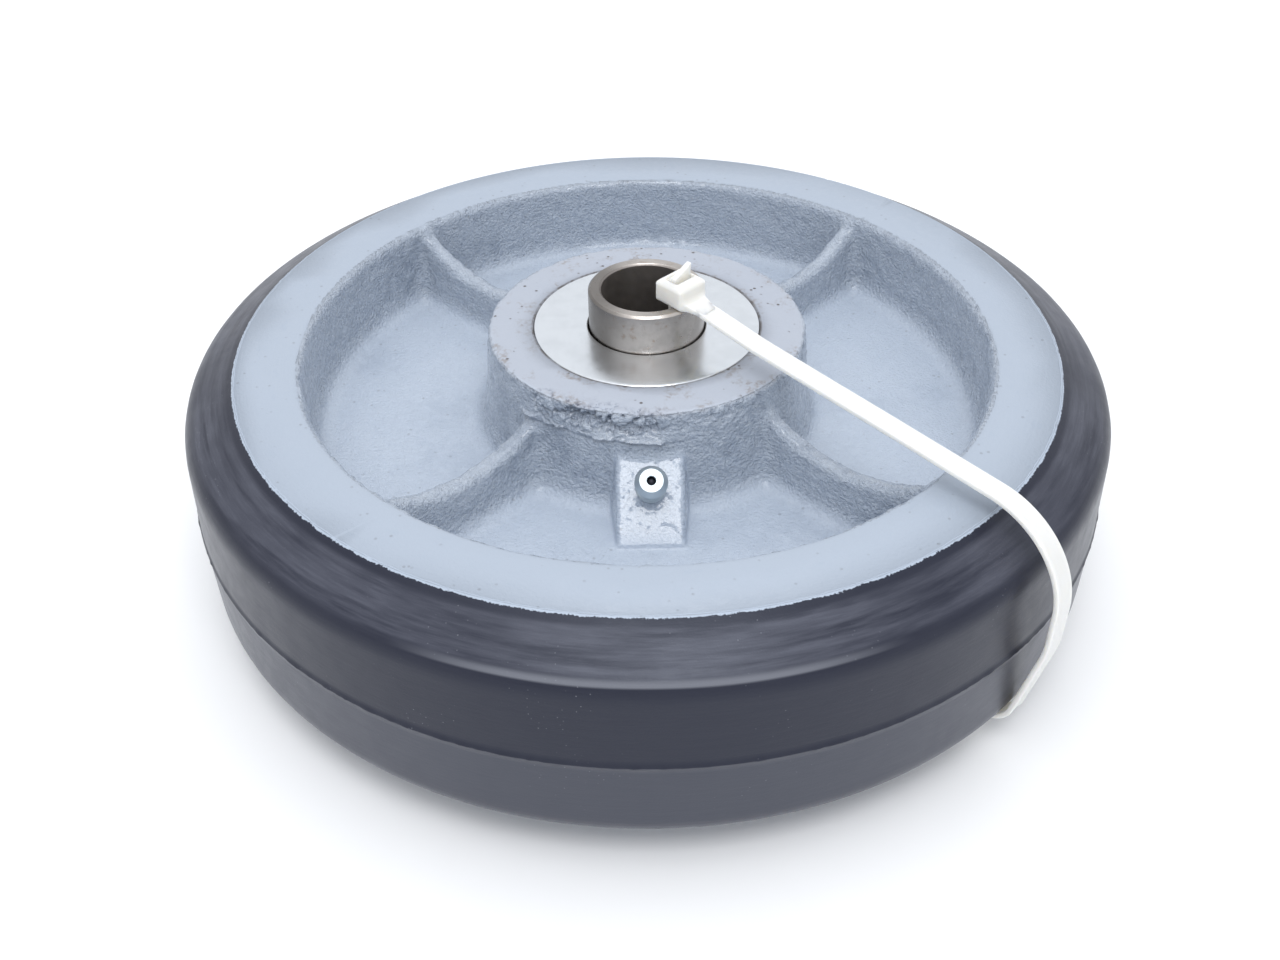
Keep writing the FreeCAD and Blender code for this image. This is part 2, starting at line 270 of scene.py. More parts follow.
def pad_distance(x, y, z):
    """Distance to the sloping pad of the grease fitting, on the upper face only."""
    azimuth = math.radians(PAD_AZIMUTH)
    along = x * math.cos(azimuth) + y * math.sin(azimuth)
    across = np.abs(y * math.cos(azimuth) - x * math.sin(azimuth))
    tilt = math.atan2(PAD_TOP[1] - PAD_FOOT[1], PAD_FOOT[0] - PAD_TOP[0])
    top = (along - PAD_TOP[0]) * math.sin(tilt) + (z - PAD_TOP[1]) * math.cos(tilt)
    side = (across - PAD_WIDTH / 2 + PAD_DRAFT * top) / math.hypot(1, PAD_DRAFT)
    pad = round_common(round_common(top, side, PAD_EDGE_ROUND), along - PAD_FOOT[0], PAD_END_ROUND)
    return np.maximum(pad, np.maximum(HUB_R - 3 - along, -z))


def core_distance(points):
    """Distance from points to the iron core's smooth surface, negative inside."""
    x, y, z = points[:, 0], points[:, 1], points[:, 2]
    r, up = np.hypot(x, y), np.abs(z)
    draft = (HUB_FOOT_R - HUB_R) / (HUB_Z - WEB_HALF)
    hub_side = (r - HUB_R - draft * (HUB_Z - up)) / math.hypot(1, draft)
    hub = round_common(hub_side, up - HUB_Z, HUB_EDGE_ROUND)
    rim = round_common(RIM_INNER_R - r, up - FACE_Z, RIM_EDGE_ROUND)
    body = round_union(round_union(hub, up - WEB_HALF, FOOT_ROUND), rim, FOOT_ROUND)
    foot_round = RIB_FOOT_ROUND - (RIB_FOOT_ROUND - RIB_END_ROUND) * step_between(9, 19, up)
    body = round_union(body, rib_distance(x, y, up), foot_round)
    pad_round = PAD_FOOT_ROUND + (PAD_HUB_ROUND - PAD_FOOT_ROUND) * step_between(12, 18, up)
    body = round_union(body, pad_distance(x, y, z), pad_round)
    body = np.maximum(body, np.maximum(r - IRON_R, BORE_R - r))
    pocket = np.maximum(r - POCKET_R, WASHER_LOW_Z - 0.1 - up)
    return np.maximum(body, -pocket)


def gradient(points):
    """Slopes of the core's distance field along X, Y and Z."""
    reach = 0.02
    slopes = []
    for axis in range(3):
        shift = np.zeros(3)
        shift[axis] = reach
        slopes.append(core_distance(points + shift) - core_distance(points - shift))
    return np.stack(slopes, 1) / (2 * reach)


def surface_net(distance, low, high, cell):
    """Points and quads of the surface where distance is zero, one point in each cell it crosses."""
    counts = [int(math.ceil((b - a) / cell)) + 1 for a, b in zip(low, high)]
    axes = [a + np.arange(n) * cell for a, n in zip(low, counts)]
    field = np.empty(counts, np.float32)
    flat = np.stack([g.ravel() for g in np.meshgrid(axes[1], axes[2], indexing="ij")], 1)
    for index, x in enumerate(axes[0]):
        slab = np.column_stack([np.full(len(flat), x), flat])
        field[index] = distance(slab).reshape(counts[1:])
    inside = field < 0
    corner_list = [(i, j, k) for i in (0, 1) for j in (0, 1) for k in (0, 1)]

    def at(values, corner):
        return values[tuple(slice(c, n - 1 + c) for c, n in zip(corner, counts))]

    filled = sum(at(inside, corner).astype(np.int8) for corner in corner_list)
    active = np.argwhere((filled > 0) & (filled < 8))
    number = np.full([n - 1 for n in counts], -1, np.int64)
    number[tuple(active.T)] = np.arange(len(active))
    total, hits = np.zeros((len(active), 3)), np.zeros(len(active))
    for first in corner_list:
        for axis in range(3):
            if first[axis] == 1:
                continue
            second = tuple(c + (a == axis) for a, c in enumerate(first))
            f1 = field[tuple((active + first).T)]
            f2 = field[tuple((active + second).T)]
            crossed = (f1 < 0) != (f2 < 0)
            place = active + np.array(first, float)
            place[:, axis] += f1 / np.where(crossed, f1 - f2, 1)
            total += place * crossed[:, None]
            hits += crossed
    points = np.array(low) + total / hits[:, None] * cell
    faces = []
    for axis in range(3):
        other = [a for a in range(3) if a != axis]
        ahead = tuple(slice(1, None) if a == axis else slice(1, -1) for a in range(3))
        behind = tuple(slice(None, -1) if a == axis else slice(1, -1) for a in range(3))
        change = inside[behind].astype(np.int8) - inside[ahead].astype(np.int8)
        for sign in (1, -1):
            place = np.argwhere(change == sign)
            place[:, other] += 1
            around = [(0, 0), (-1, 0), (-1, -1), (0, -1)]
            if (sign == 1) == (axis == 1):
                around.reverse()
            quad = []
            for d in around:
                cellplace = place.copy()
                cellplace[:, other[0]] += d[0]
                cellplace[:, other[1]] += d[1]
                quad.append(number[tuple(cellplace.T)])
            faces.append(np.stack(quad, 1))
    return points, np.concatenate(faces)


CORE_CELL = 0.62
CORE_FACES = 190_000
DETAIL_CUTS = 3


def snap_to_circle(points, radius, height, reach):
    """Moves points that are near a crisp circular edge on to it."""
    r = np.hypot(points[:, 0], points[:, 1])
    near = np.hypot(r - radius, np.abs(points[:, 2]) - height) < reach
    scale = radius / r[near]
    points[near, 0] *= scale
    points[near, 1] *= scale
    points[near, 2] = np.sign(points[near, 2]) * height


def core_relief(points):
    """How far the casting stands out of its smooth shape at each point, and where it is cast."""
    x, y, z = points.T
    r, up = np.hypot(x, y), np.abs(z)
    machined = ((up > FACE_Z - 0.3) & (r > RIM_INNER_R)) | (up > HUB_Z - 0.3)
    hidden = (r > IRON_R - 0.3) | (r < POCKET_R + 0.3)
    cast = np.where(machined | hidden, 0.0, 0.3 + 0.7 * step_between(WEB_HALF + 0.4, WEB_HALF + 3.4, up))
    on_pad = step_between(0.6, 0.0, np.abs(pad_distance(x, y, z)))
    peel = (0.13 * noise(points, 1.3, 11) + 0.12 * noise(points, 2.4, 12)
            + 0.13 * noise(points, 6.0, 13))
    grains = 0.45 * np.maximum(noise(points, 1.9, 14) - 0.35, 0)
    fine = 0.085 * noise(points, 0.85, 16) + 0.05 * noise(points, 0.5, 17)
    waves = 0.22 * noise(points, 22.0, 15)
    relief = cast * ((peel + grains) * (1 - 0.85 * on_pad) + fine * (0.5 + 0.3 * on_pad))
    return relief + np.where(machined | hidden, 0.0, 1.0) * waves, cast, on_pad * cast


def hub_damage(points):
    """Chips along the hub's upper edge and the casting seam below them, as (relief, chip mask)."""
    x, y, z = points.T
    r = np.hypot(x, y)
    azimuth = np.degrees(np.arctan2(y, x))
    toward = step_between(-138, -126, azimuth) * (1 - 0.85 * step_between(-92, -80, azimuth)) + 0.06
    band = np.exp(-(np.hypot(0.8 * (r - HUB_R + 0.2), z - HUB_Z + 2.0) / 2.6) ** 2)
    flakes = np.abs(noise(points, 3.0, 21)) + 0.6 * np.abs(noise(points, 1.4, 22))
    rough = 0.7 * noise(points, 5.0, 23) + 1.2 * (0.55 - flakes) + 0.5 * noise(points, 0.8, 27)
    depth = np.clip(rough, 0, 1.1)
    bites = step_between(0.05, 0.16, depth) * (0.30 + depth)
    chips = -1.6 * np.clip(toward * band, 0, 1) * bites
    level = points * (1, 1, 0.4)
    seam_z = 22.0 + 0.40 * noise(level, 3.6, 24) + 0.35 * noise(level, 10.0, 25)
    seam_reach = step_between(-141, -133, azimuth) * (1 - step_between(-86, -76, azimuth))
    on_side = step_between(HUB_R - 1.5, HUB_R - 0.2, r) * (1 - step_between(HUB_R + 3.5, HUB_R + 5, r))
    above = step_between(-0.20, 0.12, z - seam_z) * (1 - step_between(0.5, 3.2, z - seam_z))
    groove = np.exp(-((z - seam_z + 0.42) / 0.32) ** 2)
    beads = np.exp(-((z - seam_z - 0.32) / 0.30) ** 2) * np.maximum(noise(points, 1.3, 26) + 0.45, 0)
    seam = seam_reach * on_side * (0.30 * above - 0.22 * groove + 0.75 * beads)
    folds = noise(points * (1, 1, 2.2), 2.6, 28)
    creases = -0.42 * toward * on_side * np.exp(-((z - 25.0) / 2.6) ** 2) * step_between(0.25, 0.0, np.abs(folds))
    return chips + seam + creases, np.clip(np.clip(toward * band, 0, 1) * bites * 1.6, 0, 1)


def refine(piece, wanted, cuts):
    """Cuts the edges inside the wanted part of a mesh into shorter ones."""
    work = bmesh.new()
    work.from_mesh(piece.data)
    work.verts.ensure_lookup_table()
    inside = wanted(np.array([v.co[:] for v in work.verts]) / MM)
    edges = [e for e in work.edges if inside[e.verts[0].index] and inside[e.verts[1].index]]
    bmesh.ops.subdivide_edges(work, edges=edges, cuts=cuts, use_grid_fill=True)
    work.to_mesh(piece.data)
    work.free()


def wants_detail(points):
    """The chipped front of the hub and the pad, which carry the finest relief."""
    x, y, z = points.T
    r = np.hypot(x, y)
    azimuth = np.degrees(np.arctan2(y, x))
    hub_front = (azimuth > -143) & (azimuth < -40) & (r > HUB_R - 2.5) & (r < HUB_R + 4) & (z > 18.5)
    return hub_front | (np.abs(pad_distance(x, y, z)) < 0.8) & (r < PAD_FOOT[0] + 1) & (z > WEB_HALF)


def settle(points, rounds):
    """Moves points on to the core's smooth surface and gives its outward normals there."""
    for _ in range(rounds):
        slopes = gradient(points)
        size = np.maximum((slopes**2).sum(1), 0.25)
        points = points - slopes * np.clip(core_distance(points) / size, -0.5, 0.5)[:, None]
    snap_to_circle(points, POCKET_R, HUB_Z, CORE_CELL * 0.55)
    snap_to_circle(points, IRON_R, FACE_Z, CORE_CELL * 0.55)
    slopes = gradient(points)
    return points, slopes / np.maximum(np.linalg.norm(slopes, axis=1), 1e-6)[:, None]


def wheel_core():
    """The iron casting: fillets, hollowed rib crests, orange-peel skin, chips and seam."""
    reach = IRON_R + CORE_CELL * 1.3
    height = HUB_Z + CORE_CELL * 1.3
    points, faces = surface_net(core_distance, (-reach, -reach, -height), (reach, reach, height), CORE_CELL)
    points, _ = settle(points, 2)
    piece = add_piece("core_casting", points, faces, "wheel", ["wheel_core"])
    refine(piece, wants_detail, DETAIL_CUTS)
    flat = np.empty(3 * len(piece.data.vertices), np.float32)
    piece.data.vertices.foreach_get("co", flat)
    points, normals = settle(flat.reshape(-1, 3).astype(float) / MM, 1)
    relief, cast, pad = core_relief(points)
    damage, chip = hub_damage(points)
    points = points + normals * (relief + damage)[:, None]
    piece.data.vertices.foreach_set("co", (points * MM).ravel())
    for name, values in (("cast", cast), ("pad", pad), ("chip", chip), ("relief", relief)):
        add_attribute(piece, name, values)
    piece.data.update()
    triangles = sum(len(p.vertices) - 2 for p in piece.data.polygons)
    keep_modifier(piece, "DECIMATE", ratio=CORE_FACES / triangles)
    piece.data.shade_smooth()
    return piece


# ---------------------------------------------------------------- tyre

TYRE_STEPS = 720
LIP_OVERLAP = 0.25


def rubber_tyre():
    """Moulded tyre with its parting ridge and a lip that runs unevenly on to the rim's face."""
    slope = (FACE_Z - SHOULDER[1]) / (SHOULDER[0] - IRON_R)
    edge_r = TREAD_R - TREAD_DRAFT
    upper = [(IRON_R - 1.2, FACE_Z - 1.0, 0), (IRON_R - LIP_OVERLAP, FACE_Z + 0.05, 0.1),
             (SHOULDER[0] - 1.2, SHOULDER[1] + 0.85, 3.0),
             (edge_r, FACE_Z - (edge_r - IRON_R) * slope, SHOULDER_ROUND),
             (TREAD_R, RIDGE_HALF, 0), (RIDGE_R, 0.12, 0)]
    lower = [(r, -z, rounding) for r, z, rounding in reversed(upper)]
    profile = outline(upper + lower, 1.3)
    points, faces = turned(profile, TYRE_STEPS)
    r = np.hypot(points[:, 0], points[:, 1])
    up = np.abs(points[:, 2])
    around = points / np.where(r > 0, r, 1)[:, None] * (1, 1, 0)
    lip = (np.abs(r - IRON_R + LIP_OVERLAP) < 0.3) & (up > FACE_Z - 0.2)
    ragged = 0.08 * noise(around * 90, 2.5, 31) + 0.12 * noise(around * 90, 0.8, 32) \
        - 0.25 * np.maximum(noise(around * 90, 5.0, 33) - 0.45, 0)
    change = np.where(lip, ragged, 0.0)
    body = (r > IRON_R + 1) * 0.06 * noise(points, 14.0, 34)
    nibs = (up < 0.3) * (r > TREAD_R) * 0.18 * np.maximum(noise(around * 101, 1.3, 35), 0)
    points[:, :2] *= (1 + (change + body + nibs) / np.where(r > 0, r, 1))[:, None]
    return add_piece("tyre", points, faces, "wheel", ["rubber_tyre"])


# ---------------------------------------------------------------- turned metal pieces

METAL_STEPS = 256
METAL_STEP = 0.7


def metal_ring(name, corners, body, node):
    """A ring turned from (radius, z, rounding) corners, in place of a CAD node."""
    points, faces = turned(outline(corners, METAL_STEP), METAL_STEPS)
    piece = add_piece(name, points, faces, body, [node])
    smooth_by_angle(piece, 35)
    return piece


def retaining_washer(side, sign):
    """Pressed washer with a crisp outer edge and a rounded hole."""
    top, low = HUB_Z, WASHER_LOW_Z
    corners = [(WASHER_HOLE_R, low, 0.2), (WASHER_R, low, 0.2), (WASHER_R, top - 0.15, 0.08),
               (WASHER_R - 0.15, top, 0.08), (WASHER_HOLE_R, top, 0.35)]
    corners = [(r, sign * z, rounding) for r, z, rounding in corners]
    return metal_ring(f"washer_{side}", corners[::sign], "wheel",
                      f"retaining_washer_{side}")


def spanner_bushing():
    """Turned bushing with broken edges at both ends."""
    r_in, r_out, low, top = BUSHING_BORE_R, BUSHING_R, BUSHING_LOW_Z, BUSHING_TOP_Z
    corners = []
    for z, inward in ((low, 1), (top, -1)):
        ends = [(r_in, z + 0.4 * inward, 0.12), (r_in + 0.4, z, 0.12),
                (r_out - 0.5, z, 0.15), (r_out, z + 0.5 * inward, 0.15)]
        corners += ends if inward == 1 else ends[::-1]
    return metal_ring("bushing_sleeve", corners, "bushing", "spanner_bushing")


# ---------------------------------------------------------------- grease fitting

FITTING = next(m for m in frame["record"]["mounts"] if m["name"] == "grease_nipple")
FITTING_TIP = 8.2
FITTING_STEPS = 96


def fitting_matrix():
    """Moves a shape from the fitting's own axis, its foot at the origin, to its place on the pad."""
    axis = Vector(FITTING["axis"]).normalized()
    foot = Vector(FITTING["pos_m"]) / MM - axis * FITTING_TIP
    turn = Vector((0, 0, 1)).rotation_difference(axis).to_matrix().to_4x4()
    return np.array(Matrix.Translation(foot) @ turn)


def moved(points, matrix):
    """Points turned and shifted by a 4 by 4 matrix."""
    return points @ matrix[:3, :3].T + matrix[:3, 3]


def grease_fitting():
    """Drive-in fitting: driven collar, waisted neck, coned head, and a dished tip round its mouth."""
    corners = [(0.8, -5.8, 0), (2.8, -5.8, 0.2), (2.9, -0.2, 0), (3.15, -0.1, 0.1), (3.15, 0.8, 0.2),
               (2.6, 1.1, 0.3), (2.55, 4.6, 0.5), (3.4, 6.1, 0.35), (3.38, 6.5, 0.3),
               (2.42, FITTING_TIP - 0.05, 0.12), (1.02, FITTING_TIP, 0.06), (0.9, FITTING_TIP - 0.15, 0),
               (0.9, 7.4, 0), (1.35, 6.95, 0), (1.35, -4.8, 0), (0.8, -4.8, 0)]
    points, faces = turned(outline(corners, 0.35), FITTING_STEPS)
    piece = add_piece("grease_fitting", moved(points, fitting_matrix()), faces, "wheel",
                      ["grease_fitting_body"])
    smooth_by_angle(piece, 30)
    return piece


# ---------------------------------------------------------------- cable tie

TIE_AZIMUTH = -45.0
TIE_SIDE_OFFSET = 1.3
STRAP_WIDTH = 4.8
STRAP_THICK = 1.2
STRAP_EDGE_ROUND = 0.32
STRAP_BORDER = 0.55
STRAP_DISH = 0.14
STRAP_UP_R = 8.3
TOOTH_PITCH = 1.05
TOOTH_DEPTH = 0.28
TOOTH_HALF_WIDTH = 1.5
HEAD_R = (5.2, 12.6)
HEAD_HALF_WIDTH = 3.95
HEAD_Z = (BUSHING_TOP_Z + 0.2, 43.0)
HEAD_BEVEL = 1.0
HEAD_CELL = 0.16
NECK_LENGTH = 5.0
NECK_FLARE = 0.9
STRAP_START_Z = BUSHING_TOP_Z + 1.0
STRAP_UNDER_Z = FLOOR_Z + 0.05 + STRAP_THICK / 2


def to_tie_plane(points):
    """From (radius, side, z) on the tie's own plane to the row frame."""
    azimuth = math.radians(TIE_AZIMUTH)
    radius, side = points[:, 0], points[:, 1] + TIE_SIDE_OFFSET
    return np.stack([radius * math.cos(azimuth) - side * math.sin(azimuth),
                     radius * math.sin(azimuth) + side * math.cos(azimuth), points[:, 2]], 1)


def strap_section():
    """(side, out) points round the strap: dished outer face, toothed inner face, rounded edges."""
    half_wide, half_thick = STRAP_WIDTH / 2, STRAP_THICK / 2
    inner = half_wide - STRAP_BORDER
    corners = [(-half_wide, -half_thick, STRAP_EDGE_ROUND), (half_wide, -half_thick, STRAP_EDGE_ROUND),
               (half_wide, half_thick, STRAP_EDGE_ROUND), (inner, half_thick, 0),
               (inner - 0.3, half_thick - STRAP_DISH, 0), (0.3 - inner, half_thick - STRAP_DISH, 0),
               (-inner, half_thick, 0), (-half_wide, half_thick, STRAP_EDGE_ROUND)]
    return outline(corners, 0.5)


def tie_strap():
    """The strap's whole loop: out of the head, round the tyre, under the wheel and up the bore."""
    route = [(HEAD_R[1] - 1.5, STRAP_START_Z + 0.1, 0), (31.0, 35.9, 60.0), (106.9, 29.0, 19.0),
             (106.9, 2.5, 25.0), (101.9, -19.2, 6.3), (87.9, -27.55, 20.0), (60.0, STRAP_UNDER_Z, 90.0),
             (STRAP_UP_R, STRAP_UNDER_Z, 3.0), (STRAP_UP_R, HEAD_Z[0] + 1.5, 0)]
    line = outline(route, TOOTH_PITCH / 4, closed=False)
    ahead = np.gradient(line, axis=0)
    ahead /= np.hypot(ahead[:, 0], ahead[:, 1])[:, None]
    out = np.stack([-ahead[:, 1], ahead[:, 0]], 1)
    length = np.concatenate([[0], np.cumsum(np.hypot(*np.diff(line, axis=0).T))])
    section = strap_section()
    tooth = (length / TOOTH_PITCH) % 1.0
    toothed = (section[:, 1] < 0) & (np.abs(section[:, 0]) < TOOTH_HALF_WIDTH)
    lift = np.outer(tooth * TOOTH_DEPTH * step_between(30, 40, length), toothed)
    depth = section[None, :, 1] + lift
    twist = 0.25 * np.sin(length / 60) * step_between(20, 60, length)
    points = np.stack([line[:, 0, None] + out[:, 0, None] * depth,
                       section[None, :, 0] + twist[:, None] + 0 * depth,
                       line[:, 1, None] + out[:, 1, None] * depth], 2)
    rows, columns = depth.shape
    faces = grid_faces(rows, columns, False, True)
    piece = add_piece("tie_strap", to_tie_plane(points.reshape(-1, 3)), faces, "wheel",
                      ["cable_tie"])
    smooth_by_angle(piece, 40)
    return piece


def box_distance(points, low, high, rounding):
    """Distance to a box with rounded edges."""
    low, high = np.array(low, float), np.array(high, float)
    q = np.abs(points - (low + high) / 2) - (high - low) / 2 + rounding
    return np.linalg.norm(np.maximum(q, 0), axis=1) + np.minimum(q.max(1), 0) - rounding


def tie_head_distance(points):
    """Distance to the tie's head with its open top, pawl, strap root and cut tail."""
    radius, side, z = points.T
    near_r, far_r = HEAD_R
    bottom, top = HEAD_Z
    middle_r = (near_r + far_r) / 2
    head = box_distance(points, (near_r, -HEAD_HALF_WIDTH, bottom), (far_r, HEAD_HALF_WIDTH, top), 0.45)
    outward = np.maximum(np.abs(radius - middle_r) - (far_r - near_r) / 2, np.abs(side) - HEAD_HALF_WIDTH)
    bevel = (outward + z - top + HEAD_BEVEL) / math.sqrt(2)
    head = round_common(head, bevel, 0.25)
    mouth = box_distance(points, (near_r + 1.5, -2.75, top - 1.5), (far_r - 2.1, 2.75, top + 2), 0.3)
    head = np.maximum(head, -mouth)
    pawl = box_distance(points, (near_r + 1.2, -1.6, top - 2.4), (near_r + 2.7, 1.6, top - 0.7), 0.2)
    head = np.minimum(head, pawl)
    slope = (STRAP_START_Z - 35.9) / (31.0 - far_r)
    root = points.copy()
    root[:, 2] += (radius - far_r) * slope - STRAP_START_Z
    flare = np.clip(1 - (radius - far_r) / NECK_LENGTH, 0, 1) ** 2
    wide = np.abs(side) - STRAP_WIDTH / 2 + 0.04 - NECK_FLARE * flare
    thick = np.abs(root[:, 2] + 0.06) - STRAP_THICK / 2 + 0.11 - 0.45 * flare
    neck = round_common(round_common(wide, thick, 0.25), np.abs(radius - far_r) - NECK_LENGTH, 0.2)
    head = round_union(head, neck, 0.9)
    lean = 0.10 * (z - top)
    tail_points = np.stack([radius - lean, side, z], 1)
    tail = box_distance(tail_points, (STRAP_UP_R - 0.1, -STRAP_WIDTH / 2, bottom + 0.5),
                        (STRAP_UP_R + 1.2, STRAP_WIDTH / 2, top + 3.5), 0.18)
    cut = (z - top - 1.7 - side * 0.5) / math.hypot(1, 0.5)
    return np.minimum(head, np.maximum(tail, cut))


def tie_head():
    """The tie's head, with the strap's root and the cut tail."""
    low = (HEAD_R[0] - 0.4, -HEAD_HALF_WIDTH - 0.4, HEAD_Z[0] - 0.4 - STRAP_THICK)
    high = (HEAD_R[1] + 6.2, HEAD_HALF_WIDTH + 0.4, HEAD_Z[1] + 3.4)
    points, faces = surface_net(tie_head_distance, low, high, HEAD_CELL)
    return add_piece("tie_head", to_tie_plane(points), faces, "wheel", ["cable_tie"])


# ---------------------------------------------------------------- materials

class Finish:
    """A node material on one Principled shader, with short calls for the nodes used here."""

    def __init__(self, name, **settings):
        self.material = bpy.data.materials.new(name)
        self.material.use_nodes = True
        self.tree = self.material.node_tree
        self.shader = self.tree.nodes["Principled BSDF"]
        self.place = self.node("ShaderNodeTexCoord").outputs["Object"]
        for socket, value in settings.items():
            self.shader.inputs[socket.replace("_", " ")].default_value = value

    def node(self, kind, **settings):
        made = self.tree.nodes.new(kind)
        for key, value in settings.items():
            setattr(made, key, value)
        return made

    def feed(self, socket, value):
        if isinstance(value, bpy.types.NodeSocket):
            self.tree.links.new(value, socket)
        else:
            socket.default_value = value

    def drive(self, name, value):
        self.feed(self.shader.inputs[name], value)

    def math(self, operation, a, b=0.0):
        made = self.node("ShaderNodeMath", operation=operation)
        for socket, value in zip(made.inputs, (a, b)):
            self.feed(socket, value)
        return made.outputs[0]

    def attribute(self, name):
        return self.node("ShaderNodeAttribute", attribute_name=name).outputs["Fac"]

    def parts(self):
        """(x, y, z) of the place, in metres."""
        made = self.node("ShaderNodeSeparateXYZ")
        self.feed(made.inputs[0], self.place)
        return made.outputs

    def vector(self, x, y, z):
        made = self.node("ShaderNodeCombineXYZ")
        for socket, value in zip(made.inputs, (x, y, z)):
            self.feed(socket, value)
        return made.outputs[0]

    def radius(self):
        x, y, _ = self.parts()
        return self.math("SQRT", self.math("ADD", self.math("MULTIPLY", x, x), self.math("MULTIPLY", y, y)))

    def noise(self, size, detail=2.0, roughness=0.5, place=None):
        """Noise from 0 to 1 with bumps about size millimetres apart."""
        made = self.node("ShaderNodeTexNoise")
        self.feed(made.inputs["Vector"], place or self.place)
        made.inputs["Scale"].default_value = 1 / (size * MM)
        made.inputs["Detail"].default_value = detail
        made.inputs["Roughness"].default_value = roughness
        return made.outputs["Fac"]

    def specks(self, size, reach):
        """1 in round specks, one in each cell of size millimetres, out to reach of the cell."""
        made = self.node("ShaderNodeTexVoronoi")
        self.feed(made.inputs["Vector"], self.place)
        made.inputs["Scale"].default_value = 1 / (size * MM)
        made.inputs["Randomness"].default_value = 1.0
        return self.range(made.outputs["Distance"], reach, reach * 0.4, 0, 1)

    def range(self, value, low, high, new_low=0.0, new_high=1.0):
        made = self.node("ShaderNodeMapRange", interpolation_type="SMOOTHSTEP")
        for socket, number in zip(made.inputs, (value, low, high, new_low, new_high)):
            self.feed(socket, number)
        return made.outputs[0]

    def mix(self, share, a, b):
        made = self.node("ShaderNodeMix", data_type="RGBA")
        for index, value in ((0, share), (6, a), (7, b)):
            if isinstance(value, tuple):
                value = (*value, 1.0)
            self.feed(made.inputs[index], value)
        return made.outputs[2]

    def bump(self, height, depth, base=None):
        """Bump where height runs from 0 to 1 over depth millimetres."""
        made = self.node("ShaderNodeBump")
        made.inputs["Strength"].default_value = 1.0
        made.inputs["Distance"].default_value = depth * MM
        self.feed(made.inputs["Height"], height)
        if base is not None:
            self.feed(made.inputs["Normal"], base)
        return made.outputs[0]

    def around(self, along, across):
        """Place for streaks that run round the axle: along and across stretch them."""
        x, y, z = self.parts()
        radius = self.radius()
        return self.vector(self.math("MULTIPLY", self.math("DIVIDE", x, radius), along),
                           self.math("MULTIPLY", self.math("DIVIDE", y, radius), along),
                           self.math("MULTIPLY", self.math("SUBTRACT", radius, z), across))


